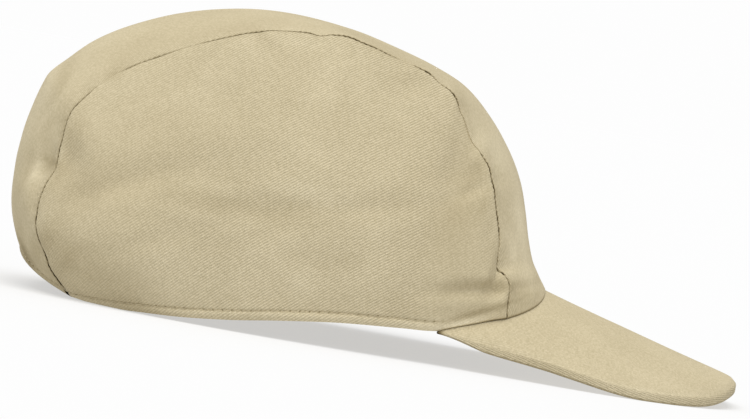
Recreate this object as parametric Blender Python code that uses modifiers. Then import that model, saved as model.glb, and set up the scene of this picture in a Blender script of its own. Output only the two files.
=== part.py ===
"""Three-panel sport cap in cotton twill: one centre panel that runs from the back hem over the top
to the front, a side panel on each side of it, and a peak made of a top cover and an under cover.

Metres, +Z up, +X to the front of the cap and +Y to the wearer's left. The cap stands as it rests by
itself, on the back of its hem and on both edges of the peak, with that surface at z = 0. The origin
is on that surface, under the middle of the whole length.
"""

import math

import bmesh
import bpy
import numpy as np

# Crown
crown_length = 0.2020          # back of the crown to the middle of the peak's seam
crown_height = 0.1153          # resting surface to the top
crown_half_width = 0.0775      # widest place of the hem, from the middle
strip_half_width = 0.0450      # centre panel at the top, from its middle to its seam
# Peak
peak_reach = 0.0753            # middle of the peak's seam to the tip
peak_half_width = 0.0700
arch_radius_corner = 0.0860    # arch across the peak, at its rear corners
arch_radius_tip = 0.1310
outline_power = 2.25           # how square the peak's front outline is, 2 for an ellipse
widest_share = 0.38            # where the peak is widest, from the corner to the tip
nose_share = 0.66              # share of the outline's run that lies ahead of the widest place
arch_opening = 2.5             # how quickly the arch opens ahead of the corners
# Cloth
cloth = 0.0014                 # wall of a panel
hem_depth = 0.0035             # turned-in edge of the hem
hem_wall = 0.0022              # wall of the hem, with its turned-in layer
hem_step = 0.0008              # run over which the wall thickens to the hem
top_cover = 0.0016             # wall of the peak's top cover
under_cover = 0.0014           # wall of the peak's under cover
edge_roll = 0.0008             # how far the top cover's rim rolls down
corner_taper = 0.55            # share of the peak's wall that is lost at its rear corners
seam_gap = 0.0003              # clearance between pieces that are sewn together
swell_roundness = 1.5          # how much of a side panel's swell keeps to its middle
hem_fade = 3                   # stations over which a fold dies away before a hem
# Fineness of the meshes
steps_per_row = 2              # stations between two rows of the section table
strip_columns = 7
side_columns = 12
peak_columns = 18
peak_rows = 7
rim_row = 0.985                # last row of the peak before its rim
end_spacing = 0.25             # least distance of a station from those of the hem's thicker edge
hem_share_limits = (0.66, 0.5)   # most of a short side panel that the step and the hem take up
crease_angle = 40.0            # edges sharper than this, in degrees, stay crisp

back = -(crown_length + peak_reach) / 2
front = back + crown_length
tip = front + peak_reach

# Sections of the centre panel, from the back hem over the top to the peak's seam. Columns: the
# middle of the panel (share of crown_length from the back, share of crown_height), the side seam
# (the same two shares, and its distance from the middle as a share of strip_half_width), and how
# full the section is between them, along and in height (2 is a round arc, more is squarer).
strip_sections = (
    (0.039, 0.117, 0.155, 0.004, 1.078, 2.5, 1.35),
    (0.020, 0.180, 0.128, 0.050, 1.089, 2.5, 1.65),
    (0.009, 0.245, 0.099, 0.105, 1.100, 2.4, 1.9),
    (0.000, 0.364, 0.070, 0.221, 1.111, 2.3, 2.1),
    (0.005, 0.486, 0.076, 0.347, 1.107, 2.2, 2.2),
    (0.016, 0.585, 0.087, 0.451, 1.098, 2.2, 2.2),
    (0.027, 0.652, 0.094, 0.559, 1.082, 2.2, 2.2),
    (0.037, 0.688, 0.108, 0.615, 1.071, 2.2, 2.2),
    (0.062, 0.733, 0.134, 0.668, 1.058, 2.2, 2.2),
    (0.108, 0.808, 0.172, 0.728, 1.044, 2.2, 2.2),
    (0.172, 0.877, 0.215, 0.779, 1.036, 2.2, 2.2),
    (0.252, 0.940, 0.290, 0.848, 1.022, 2.2, 2.2),
    (0.359, 0.986, 0.389, 0.921, 1.009, 2.2, 2.2),
    (0.469, 1.000, 0.473, 0.951, 1.000, 2.3, 2.3),
    (0.567, 0.984, 0.557, 0.961, 1.000, 2.3, 2.3),
    (0.660, 0.947, 0.656, 0.926, 1.007, 2.3, 2.3),
    (0.739, 0.906, 0.726, 0.892, 1.020, 2.3, 2.3),
    (0.797, 0.858, 0.773, 0.838, 1.033, 2.3, 2.3),
    (0.850, 0.775, 0.805, 0.747, 1.058, 2.3, 2.3),
    (0.892, 0.681, 0.844, 0.662, 1.084, 2.3, 2.3),
    (0.921, 0.590, 0.868, 0.581, 1.111, 2.3, 2.3),
    (0.939, 0.503, 0.882, 0.503, 1.133, 2.4, 2.3),
    (0.952, 0.421, 0.895, 0.425, 1.160, 2.5, 2.2),
    (0.966, 0.353, 0.900, 0.351, 1.182, 2.7, 2.1),
    (0.984, 0.304, 0.924, 0.286, 1.204, 3.1, 1.9),
    (1.000, 0.265, 0.932, 0.188, 1.216, 3.5, 1.65),
)

# Hem of a side panel between the two seams of the centre panel. Columns: share of crown_length from
# the back, share of crown_half_width from the middle, share of crown_height. Past the peak's corner
# the hem lies on the peak, which gives its height.
hem_points = (
    (0.184, 0.701, 0.000),
    (0.212, 0.761, 0.000),
    (0.250, 0.823, 0.000),
    (0.285, 0.867, 0.004),
    (0.359, 0.937, 0.014),
    (0.449, 0.986, 0.034),
    (0.533, 1.000, 0.058),
    (0.639, 0.987, 0.083),
    (0.746, 0.950, 0.101),
    (0.811, 0.906, 0.110),
    (0.869, 0.831, 0.139),
    (0.912, 0.748, 0.165),
)
peak_corner_row = 9            # row of hem_points where the peak begins

# How a side panel swells between its seam and its hem. Columns: share of the seam from the back,
# how steeply it leaves the seam, and how far it stands proud of the hem as a share of
# crown_half_width.
side_swell = (
    (0.00, 1.8, 0.000),
    (0.12, 2.0, 0.045),
    (0.30, 2.2, 0.060),
    (0.50, 2.3, 0.035),
    (0.75, 2.2, 0.025),
    (0.92, 1.9, 0.020),
    (1.00, 1.7, 0.000),
)

# Folds, dents and gathers of the crown, as seen from the side. Columns: place (share of
# crown_length from the back, share of crown_height), slope in degrees, half of the length and half
# of the width as shares of crown_length, and the rise as a share of crown_half_width (dents are
# below zero).
folds = (
    (0.890, 0.308, 5.0, 0.075, 0.022, -0.034),
    (0.885, 0.252, 5.0, 0.080, 0.022, 0.034),
    (0.865, 0.195, 10.0, 0.080, 0.020, -0.028),
    (0.850, 0.520, 80.0, 0.110, 0.035, -0.022),
    (0.700, 0.420, -35.0, 0.150, 0.050, -0.016),
    (0.560, 0.520, -28.0, 0.200, 0.045, 0.018),
    (0.380, 0.360, 24.0, 0.190, 0.045, -0.022),
    (0.330, 0.500, 22.0, 0.210, 0.045, 0.022),
    (0.250, 0.230, 30.0, 0.110, 0.030, 0.018),
    (0.235, 0.130, 18.0, 0.095, 0.026, -0.026),
    (0.150, 0.270, 32.0, 0.080, 0.022, -0.026),
    (0.075, 0.445, 35.0, 0.040, 0.014, 0.022),
    (0.065, 0.370, 40.0, 0.045, 0.014, -0.020),
    (0.045, 0.560, 72.0, 0.120, 0.018, -0.014),
)
FOLD_COLUMNS = ("along", "height", "slope", "half_length", "half_width", "rise")


def smooth_rows(rows, places):
    """Rows of a table read at fractional places, on one smooth curve through all of them."""
    table = np.asarray(rows, dtype=float)
    before = 2 * table[0] - table[1]
    after = 2 * table[-1] - table[-2]
    padded = np.vstack([before, table, after])
    places = np.clip(np.asarray(places, dtype=float), 0, len(table) - 1)
    low = np.minimum(places.astype(int), len(table) - 2)
    t = (places - low)[:, None]
    a, b, c, d = (padded[low + k] for k in range(4))
    return b + 0.5 * t * (c - a + t * (2 * a - 5 * b + 4 * c - d + t * (3 * (b - c) + d - a)))


def shares_by_length(points):
    """Share of the whole length at each point of a line."""
    steps = np.linalg.norm(np.diff(points, axis=0), axis=1)
    run = np.concatenate([[0.0], np.cumsum(steps)])
    return run / run[-1]


def unit(vectors):
    return vectors / np.maximum(np.linalg.norm(vectors, axis=-1, keepdims=True), 1e-12)


# Peak

corner_x = back + crown_length * hem_points[peak_corner_row][0]
corner_y = crown_half_width * hem_points[peak_corner_row][1]
junction_height = crown_height * strip_sections[-1][1]
cover_walls = top_cover + under_cover


def arch_radius(x):
    """Radius of the arch across the peak. It opens quickly ahead of the corners, then stays."""
    share = np.clip((x - corner_x) / (tip - corner_x), 0, 1)
    opened = 1 - (1 - share) ** arch_opening
    return arch_radius_corner + (arch_radius_tip - arch_radius_corner) * opened


def arch_drop(x, y):
    """How far the arched peak lies below its ridge."""
    return y ** 2 / (2 * arch_radius(x))


def peak_outline(share):
    """Outline of the peak on the plan, from the tip (0) to the rear corner (1)."""
    widest_x = corner_x + (tip - corner_x) * widest_share
    angle = np.clip(share / nose_share, 0, 1) * math.pi / 2
    side = np.clip((share - nose_share) / (1 - nose_share), 0, 1)
    nose_x = (tip - widest_x) * np.abs(np.cos(angle)) ** (2 / outline_power)
    nose_y = peak_half_width * np.sin(angle) ** (2 / outline_power)
    swell = side ** 2 * (3 - 2 * side)
    x = widest_x + nose_x - (widest_x - corner_x) * side
    y = nose_y + (corner_y - peak_half_width) * swell
    return np.stack([x, y], axis=-1)


def wall_share(share):
    """What the peak's wall keeps of its thickness, from the tip (0) to the rear corner (1)."""
    return 1 - corner_taper * share ** 4


def resting_slope():
    """Slope of the peak's ridge that lets both edges of the peak meet the resting surface."""
    share = np.linspace(0, 1, peak_columns)
    x, y = peak_outline(share).T
    ahead = x > front + peak_reach / 4
    below_ridge = arch_drop(x, y) + edge_roll + cover_walls * wall_share(share) + 2 * seam_gap
    return np.min((junction_height - below_ridge)[ahead] / (x - front)[ahead])


peak_slope = resting_slope()


def peak_height(x, y):
    """Height of the peak's top face."""
    return junction_height - seam_gap - peak_slope * (x - front) - arch_drop(x, y)


# Crown

def fold_rise(points):
    """Outward rise of the folds and dents at points of the crown."""
    along = (points[..., 0] - back) / crown_length
    height = points[..., 2] / crown_height
    rise = np.zeros(points.shape[:-1])
    for row in folds:
        fold = dict(zip(FOLD_COLUMNS, row))
        slope = math.radians(fold["slope"])
        dx = along - fold["along"]
        dz = (height - fold["height"]) * crown_height / crown_length
        run = (dx * math.cos(slope) + dz * math.sin(slope)) / fold["half_length"]
        across = (dz * math.cos(slope) - dx * math.sin(slope)) / fold["half_width"]
        rise += fold["rise"] * crown_half_width * np.exp(-run ** 2 - across ** 2)
    return rise


def stations():
    """Places along the section table, with two more at each hem for its thicker edge."""
    last = len(strip_sections) - 1
    even = np.linspace(0, last, last * steps_per_row + 1)
    middle = even[1:-1]
    rows = smooth_rows(strip_sections, [0, 1, last - 1, last])
    size = np.array([crown_length, crown_height])
    back_run = np.linalg.norm((rows[1, :2] - rows[0, :2]) * size)
    front_run = np.linalg.norm((rows[3, :2] - rows[2, :2]) * size)
    hem_at = np.array([hem_depth, hem_depth + hem_step])
    ends = np.concatenate([hem_at / back_run, last - hem_at[::-1] / front_run])
    middle = middle[(middle > ends[1] + end_spacing) & (middle < ends[2] - end_spacing)]
    return np.concatenate([[0], ends[:2], middle, ends[2:], [last]])


def strip_grid(places, across):
    """Outer face of the centre panel from its middle (0) to its left seam (1)."""
    middle_x, middle_z, seam_x, seam_z, seam_y, full_x, full_z = smooth_rows(strip_sections, places).T
    grid = np.zeros((len(places), len(across), 3))
    for column, v in enumerate(across):
        share_x = 1 - v ** full_x
        share_z = 1 - v ** full_z
        grid[:, column, 0] = back + crown_length * (seam_x + (middle_x - seam_x) * share_x)
        grid[:, column, 1] = strip_half_width * seam_y * v
        grid[:, column, 2] = crown_height * (seam_z + (middle_z - seam_z) * share_z)
    grid[-1, :, 2] = peak_height(grid[-1, :, 0], grid[-1, :, 1]) + seam_gap
    return grid


def hem_line(seam):
    """Hem of the left side panel, one point for each station of its seam."""
    scale = np.array([crown_length, crown_half_width, crown_height])
    inner = np.asarray(hem_points) * scale + np.array([back, 0, 0])
    rows = np.vstack([seam[0], inner, seam[-1]])
    fine = smooth_rows(rows, np.linspace(0, len(rows) - 1, 600))
    fine[:, 2] = np.maximum(fine[:, 2], 0)
    ahead = fine[:, 0] > corner_x
    on_peak = peak_height(fine[:, 0], fine[:, 1]) + seam_gap
    fine[ahead, 2] = on_peak[ahead]
    fine_share = shares_by_length(fine)
    seam_share = shares_by_length(seam)
    hem = np.stack([np.interp(seam_share, fine_share, fine[:, k]) for k in range(3)], axis=-1)
    ahead = hem[:, 0] > corner_x
    hem[ahead, 2] = peak_height(hem[ahead, 0], hem[ahead, 1]) + seam_gap
    return hem


def side_grid(seam, hem, columns):
    """Outer face of the left side panel from its seam to its hem. The last columns are the hem's."""
    share = shares_by_length(seam)
    swell = smooth_rows(side_swell, np.interp(share, [row[0] for row in side_swell],
                                              np.arange(len(side_swell))))
    length = np.maximum(np.linalg.norm(hem - seam, axis=1), 1e-9)
    hem_at = np.array([hem_depth + hem_step, hem_depth])[:, None] / length
    hem_at = np.minimum(hem_at, np.array(hem_share_limits)[:, None])
    body = np.linspace(0, 1, columns - 1)[:, None] * (1 - hem_at[0])
    down = np.vstack([body, 1 - hem_at[1], np.ones(len(seam))])
    grid = np.zeros((len(seam), len(down), 3))
    for column, w in enumerate(down):
        out = 1 - (1 - w) ** swell[:, 1]
        proud = swell[:, 2] * crown_half_width * np.sin(math.pi * w) ** swell_roundness
        grid[:, column, 0] = seam[:, 0] + (hem[:, 0] - seam[:, 0]) * w
        grid[:, column, 1] = seam[:, 1] + (hem[:, 1] - seam[:, 1]) * out + proud
        grid[:, column, 2] = seam[:, 2] + (hem[:, 2] - seam[:, 2]) * w
    return grid


def face_normals(grid):
    """Outward direction at each point of a grid that runs back to front and middle to hem."""
    along = np.gradient(grid, axis=0)
    across = np.gradient(grid, axis=1)
    return unit(np.cross(along, across))


def level_out(direction):
    flat = direction.copy()
    flat[..., 2] = 0
    return unit(flat)


def crown_half():
    """Outer faces of the left half of the crown, and the direction from outer to inner face."""
    places = stations()
    strip = strip_grid(places, np.linspace(0, 1, strip_columns))
    seam = strip[:, -1]
    hem = hem_line(seam)
    side = side_grid(seam, hem, side_columns)
    for grid in (strip, side):
        normal = face_normals(grid)
        fade = np.clip(np.arange(len(places)) / hem_fade, 0, 1)
        fade = np.minimum(fade, fade[::-1])[:, None]
        rise = fold_rise(grid) * fade
        if grid is side:
            rise[:, -3:] = 0
        grid += normal * rise[..., None]
    side[:, 0] = strip[:, -1]
    strip_out = face_normals(strip)
    strip_out[:, 0, 1] = 0
    strip_out = unit(strip_out)
    side_out = face_normals(side)
    side_out[0] = side_out[1]
    side_out[-1] = side_out[-2]
    bend = np.sum(strip_out[:, -1] * side_out[:, 0], axis=1, keepdims=True)
    mitre = (strip_out[:, -1] + side_out[:, 0]) / (1 + bend)
    hem_out = level_out(unit(np.cross(np.gradient(hem, axis=0), np.array([0.0, 0.0, 1.0]))))
    hem_out *= np.sign(np.sum(hem_out * np.array([0.0, 1.0, 0.0]), axis=1, keepdims=True))
    side_out[:, -1] = hem_out
    strip_out[:, -1] = mitre
    side_out[:, 0] = mitre
    for end in (0, -1):
        strip_out[end] = level_out(strip_out[end])
        corner = unit(strip_out[end, -1] + hem_out[end])
        strip_out[end, -1] = corner
        side_out[end] = corner
    return strip, strip_out, side, side_out


def seat_edge(outer, inner):
    """Sets the hem's inner edge on the peak where the outer one is, and flat where it rests."""
    ahead = outer[:, 0] > corner_x
    on_peak = peak_height(inner[:, 0], inner[:, 1]) + seam_gap
    inner[:, 2] = np.where(ahead, on_peak, outer[:, 2])
    return inner


def pull(grid, column, towards):
    """Moves one column of a grid back from the seam by half of the seam's gap."""
    step = unit(grid[:, towards] - grid[:, column])
    grid[:, column] += step * seam_gap / 2


def shell_mesh(name, outer, inner, open_middle, side_sign=1):
    """Closed wall between two grids. A half that mirrors across the middle stays open there."""
    bm = bmesh.new()
    rows, columns = outer.shape[:2]
    flip = np.array([1.0, side_sign, 1.0])
    skins = [[[bm.verts.new(point * flip) for point in row] for row in grid] for grid in (outer, inner)]

    def face(*corners):
        bm.faces.new(corners)

    top, bottom = skins
    for i in range(rows - 1):
        for j in range(columns - 1):
            face(top[i][j], top[i + 1][j], top[i + 1][j + 1], top[i][j + 1])
            face(bottom[i][j], bottom[i][j + 1], bottom[i + 1][j + 1], bottom[i + 1][j])
        face(top[i][-1], top[i + 1][-1], bottom[i + 1][-1], bottom[i][-1])
        if not open_middle:
            face(top[i + 1][0], top[i][0], bottom[i][0], bottom[i + 1][0])
    for j in range(columns - 1):
        face(top[0][j], top[0][j + 1], bottom[0][j + 1], bottom[0][j])
        face(top[-1][j + 1], top[-1][j], bottom[-1][j], bottom[-1][j + 1])
    bmesh.ops.remove_doubles(bm, verts=bm.verts[:], dist=1e-5)
    bmesh.ops.dissolve_degenerate(bm, edges=bm.edges[:], dist=1e-6)
    bmesh.ops.triangulate(bm, faces=bm.faces[:])
    if side_sign < 0:
        bmesh.ops.reverse_faces(bm, faces=bm.faces[:])
    mesh = bpy.data.meshes.new(name)
    bm.to_mesh(mesh)
    bm.free()
    return mesh


def twill(name, colour):
    """Cotton twill: matt, with no metal in it."""
    material = bpy.data.materials.new(name)
    material.use_nodes = True
    shader = material.node_tree.nodes["Principled BSDF"]
    shader.inputs["Base Color"].default_value = (*colour, 1)
    shader.inputs["Roughness"].default_value = 0.9
    shader.inputs["Metallic"].default_value = 0.0
    return material


def add_piece(name, mesh, material, mirrored=False):
    piece = bpy.data.objects.new(name, mesh)
    piece.data.materials.append(material)
    cap.objects.link(piece)
    if mirrored:
        mirror = piece.modifiers.new("other_half", "MIRROR")
        mirror.use_axis = (False, True, False)
        mirror.merge_threshold = 0.0001
    piece.data.shade_smooth()
    piece.data.set_sharp_from_angle(angle=math.radians(crease_angle))
    return piece


def build_crown():
    """Centre panel and both side panels, each a closed wall with a mitred seam."""
    strip, strip_out, side, side_out = crown_half()
    strip_wall = np.full(strip.shape[:2], cloth)
    strip_wall[:2] = hem_wall
    strip_wall[-2:] = hem_wall
    side_wall = np.full(side.shape[:2], cloth)
    side_wall[:, -2:] = hem_wall
    strip_inner = strip - strip_out * strip_wall[..., None]
    side_inner = side - side_out * side_wall[..., None]
    for row in (0, -1):
        strip_inner[row] = seat_edge(strip[row], strip_inner[row])
        side_inner[row] = seat_edge(side[row], side_inner[row])
    side_inner[:, -1] = seat_edge(side[:, -1], side_inner[:, -1])
    for grid in (strip, strip_inner):
        pull(grid, -1, -2)
    for grid in (side, side_inner):
        pull(grid[1:-1], 0, 1)
        grid[0] += unit(grid[1, -1] - grid[0, -1]) * seam_gap / 2
        grid[-1] += unit(grid[-2, -1] - grid[-1, -1]) * seam_gap / 2
    centre = shell_mesh("centre_panel", strip, strip_inner, open_middle=True)
    add_piece("centre_panel", centre, twill("twill_centre", (0.57, 0.48, 0.32)), mirrored=True)
    for word, sign in (("left", 1), ("right", -1)):
        name = "side_panel_" + word
        mesh = shell_mesh(name, side, side_inner, open_middle=False, side_sign=sign)
        add_piece(name, mesh, twill("twill_" + word, (0.55, 0.46, 0.31)))
    return strip_inner[-1], side_inner[:, -1]


def build_peak(strip_hem, side_hem):
    """Top and under cover of the peak, one over the other, from under the crown's hem to the tip."""
    ahead = side_hem[:, 0] > corner_x
    corner = np.array([[corner_x, corner_y]])
    seam = np.vstack([strip_hem[:-1, :2], side_hem[ahead, :2][::-1], corner])
    share = shares_by_length(seam)
    even = np.linspace(0, 1, peak_columns)
    rear = np.stack([np.interp(even, share, seam[:, k]) for k in range(2)], axis=-1)
    rim = peak_outline(even)
    rim[-1] = rear[-1] = corner[0]
    down = np.concatenate([np.linspace(0, 1, peak_rows - 1)[:-1], [rim_row, 1.0]])
    plan = rear[:, None] + (rim - rear)[:, None] * down[None, :, None]
    x, y = plan[..., 0].T, plan[..., 1].T
    upper = np.stack([x, y, peak_height(x, y)], axis=-1)
    upper[-1, :-1, 2] -= edge_roll
    for name, wall in (("peak_top", top_cover), ("peak_under", under_cover)):
        lower = upper.copy()
        lower[..., 2] = np.maximum(upper[..., 2] - wall * wall_share(even), 0)
        mesh = shell_mesh(name, upper, lower, open_middle=True)
        add_piece(name, mesh, twill("twill_" + name, (0.62, 0.53, 0.37)), mirrored=True)
        upper = lower.copy()
        upper[..., 2] -= seam_gap


for leftover in list(bpy.data.objects):
    bpy.data.objects.remove(leftover)
cap = bpy.data.collections.new("three_panel_sport_cap")
bpy.context.scene.collection.children.link(cap)
front_hem, side_hems = build_crown()
build_peak(front_hem, side_hems)
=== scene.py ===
"""Looks of the three-panel sport cap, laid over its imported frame. Metres, +X to the front of the cap,
+Y to the wearer's left, +Z up. The cap stands on the back of its hem and on both edges of its peak.
"""
import math

import bpy
import numpy as np
from mathutils import Matrix, Vector


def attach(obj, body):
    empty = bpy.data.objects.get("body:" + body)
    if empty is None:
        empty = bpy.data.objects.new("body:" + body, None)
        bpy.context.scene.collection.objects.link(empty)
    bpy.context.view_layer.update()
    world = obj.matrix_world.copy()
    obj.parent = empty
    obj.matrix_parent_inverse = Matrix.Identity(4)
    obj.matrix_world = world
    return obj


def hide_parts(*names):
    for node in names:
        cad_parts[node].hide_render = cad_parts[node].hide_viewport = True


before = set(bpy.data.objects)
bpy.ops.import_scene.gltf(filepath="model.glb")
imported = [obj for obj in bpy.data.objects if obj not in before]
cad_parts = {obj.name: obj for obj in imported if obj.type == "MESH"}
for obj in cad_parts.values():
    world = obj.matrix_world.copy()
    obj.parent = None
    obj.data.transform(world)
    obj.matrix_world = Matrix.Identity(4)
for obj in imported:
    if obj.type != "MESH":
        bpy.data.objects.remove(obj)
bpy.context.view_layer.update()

# Centre panel
# One strip of cotton twill that runs from the back hem over the top of the crown to the front. It is
# sewn to a side panel along each edge; the seams pull it in and pucker it. Its back end is turned in
# and stitched as the hem, and its front end is sewn down on the peak.

crown_length = 0.2020          # back hem to the foot of the front
crown_height = 0.1153
crown_half_width = 0.0775
strip_half_width = 0.0450      # the centre panel on top of the crown
peak_reach = 0.0753            # how far the peak stands out ahead of the crown
back = -(crown_length + peak_reach) / 2
front = back + crown_length
tip = front + peak_reach

cloth = 0.0014                 # one layer of twill
hem_wall = 0.0022              # two layers of it
hem_depth = 0.0035             # edge of the hem to its stitches
stitch_pitch = 0.0034          # one stitch of the hem
hem_tuck = 0.0009              # how far the hem draws in at the middle of the back
back_hollow = 0.00065          # how far the cloth above it does
middle_calm = 0.7              # how much of its folds the centre panel loses along its middle
seam_gap = 0.0003              # between two pieces that are sewn together
seam_stitch = 0.0020           # one stitch of the machine that closed the seams
seam_allowance = 0.0009        # how much thicker the wall is where the edges are turned in
allowance_reach = 0.0025       # how far from the seam that goes
inner_shut = 0.95              # how far the two edges of a seam close on the inside of the cap
outer_shut = 0.96              # how far they do on the outside, where no line shows
open_seam = 1.2                # halvings of the light from which the outside stays open
seam_groove = 0.0007           # how deep the turned edges sink in the seam
groove_reach = 0.00032
seam_trough = 0.00024          # the shallow trough on both sides of it
trough_reach = 0.0015
fine_pucker = 0.0031           # from one small pucker of a seam to the next
broad_pucker = 0.0068          # and from one wide one to the next
stray_reach = 0.006            # how far from a seam the cloth follows where it strays
seam_pull = 0.00016            # how far each stitch of the seam draws a small slanting ridge
pull_reach = 0.0009
strip_ripple = 0.00020         # how far the centre panel swells and sinks between its folds
sewn_shade = 1.6               # halvings of painted shade in the crack where cloth is sewn on another piece
back_hem_shade = 0.35          # and along the rim of the back hem
relief_shading = 0.08              # painted light on small ridges and painted shade in small hollows, in halvings
sewn_down = 0.0004             # how far cloth sinks where it is sewn on another piece, and how wide
stations = 700                 # points along a seam
settling = 30                  # how many of them the centre panel takes to come down on the peak
inner_step = 5                 # the inner face has one column for each of these on the outer one

# Sections of the centre panel, back hem to peak: the middle (share of crown_length, share of
# crown_height), the seam (the same two, and its distance from the middle as a share of
# strip_half_width), and how full the section is between them, along and in height.
strip_sections = (
    (0.039, 0.117, 0.155, 0.004, 1.078, 2.5, 1.35),
    (0.020, 0.180, 0.128, 0.050, 1.089, 2.5, 1.65),
    (0.009, 0.245, 0.099, 0.105, 1.100, 2.4, 1.9),
    (0.000, 0.364, 0.070, 0.221, 1.111, 2.3, 2.1),
    (0.005, 0.486, 0.076, 0.347, 1.107, 2.2, 2.2),
    (0.016, 0.585, 0.087, 0.451, 1.098, 2.2, 2.2),
    (0.027, 0.652, 0.094, 0.559, 1.082, 2.2, 2.2),
    (0.037, 0.688, 0.108, 0.615, 1.071, 2.2, 2.2),
    (0.062, 0.733, 0.134, 0.668, 1.058, 2.2, 2.2),
    (0.108, 0.808, 0.172, 0.728, 1.044, 2.2, 2.2),
    (0.172, 0.877, 0.215, 0.779, 1.036, 2.2, 2.2),
    (0.252, 0.940, 0.290, 0.848, 1.022, 2.2, 2.2),
    (0.359, 0.986, 0.389, 0.921, 1.009, 2.2, 2.2),
    (0.469, 1.000, 0.473, 0.951, 1.000, 2.3, 2.3),
    (0.567, 0.984, 0.557, 0.961, 1.000, 2.3, 2.3),
    (0.660, 0.947, 0.656, 0.926, 1.007, 2.3, 2.3),
    (0.739, 0.906, 0.726, 0.892, 1.020, 2.3, 2.3),
    (0.797, 0.858, 0.773, 0.838, 1.033, 2.3, 2.3),
    (0.850, 0.775, 0.805, 0.747, 1.058, 2.3, 2.3),
    (0.892, 0.681, 0.844, 0.662, 1.084, 2.3, 2.3),
    (0.921, 0.590, 0.868, 0.581, 1.111, 2.3, 2.3),
    (0.939, 0.503, 0.882, 0.503, 1.133, 2.4, 2.3),
    (0.952, 0.421, 0.895, 0.425, 1.160, 2.5, 2.2),
    (0.966, 0.353, 0.900, 0.351, 1.182, 2.7, 2.1),
    (0.984, 0.304, 0.924, 0.286, 1.204, 3.1, 1.9),
    (1.000, 0.265, 0.932, 0.188, 1.216, 3.5, 1.65),
)

# Folds, dents and gathers of the crown as the side view shows them: place (share of crown_length,
# share of crown_height), slope in degrees, half length and half width (shares of crown_length), and
# rise in millimetres, below zero for a dent. The rows run from the back to the front.
folds = (
    (0.062, 0.405, 35.0, 0.050, 0.026, -2.2),
    (0.065, 0.300, 35.0, 0.050, 0.035, 1.2),
    (0.075, 0.760, 50.0, 0.090, 0.045, -0.3),
    (0.108, 0.430, 20.0, 0.050, 0.040, -1.5),
    (0.195, 0.370, 29.0, 0.100, 0.023, -1.3),
    (0.200, 0.195, -19.0, 0.140, 0.070, 2.4),
    (0.290, 0.235, 25.0, 0.090, 0.018, -0.6),
    (0.325, 0.470, 15.0, 0.160, 0.035, -1.4),
    (0.430, 0.890, -35.0, 0.030, 0.010, -0.5),
    (0.480, 0.400, 5.0, 0.100, 0.036, -1.3),
    (0.655, 0.450, 10.0, 0.130, 0.022, -0.9),
    (0.700, 0.845, 22.0, 0.055, 0.016, -0.5),
    (0.820, 0.600, 27.0, 0.060, 0.050, -2.2),
    (0.835, 0.680, 60.0, 0.030, 0.020, 0.9),
    (0.838, 0.560, 27.0, 0.045, 0.012, -0.7),
    (0.885, 0.140, 22.0, 0.065, 0.016, -2.0),
    (0.885, 0.256, 10.0, 0.076, 0.0145, -2.4),
)
fold_columns = ("along", "height", "slope", "half_length", "half_width", "rise")
left_lag = 0.040               # how much further back they lie on the wearer's left
left_lift = 0.045              # and how much higher
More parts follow.
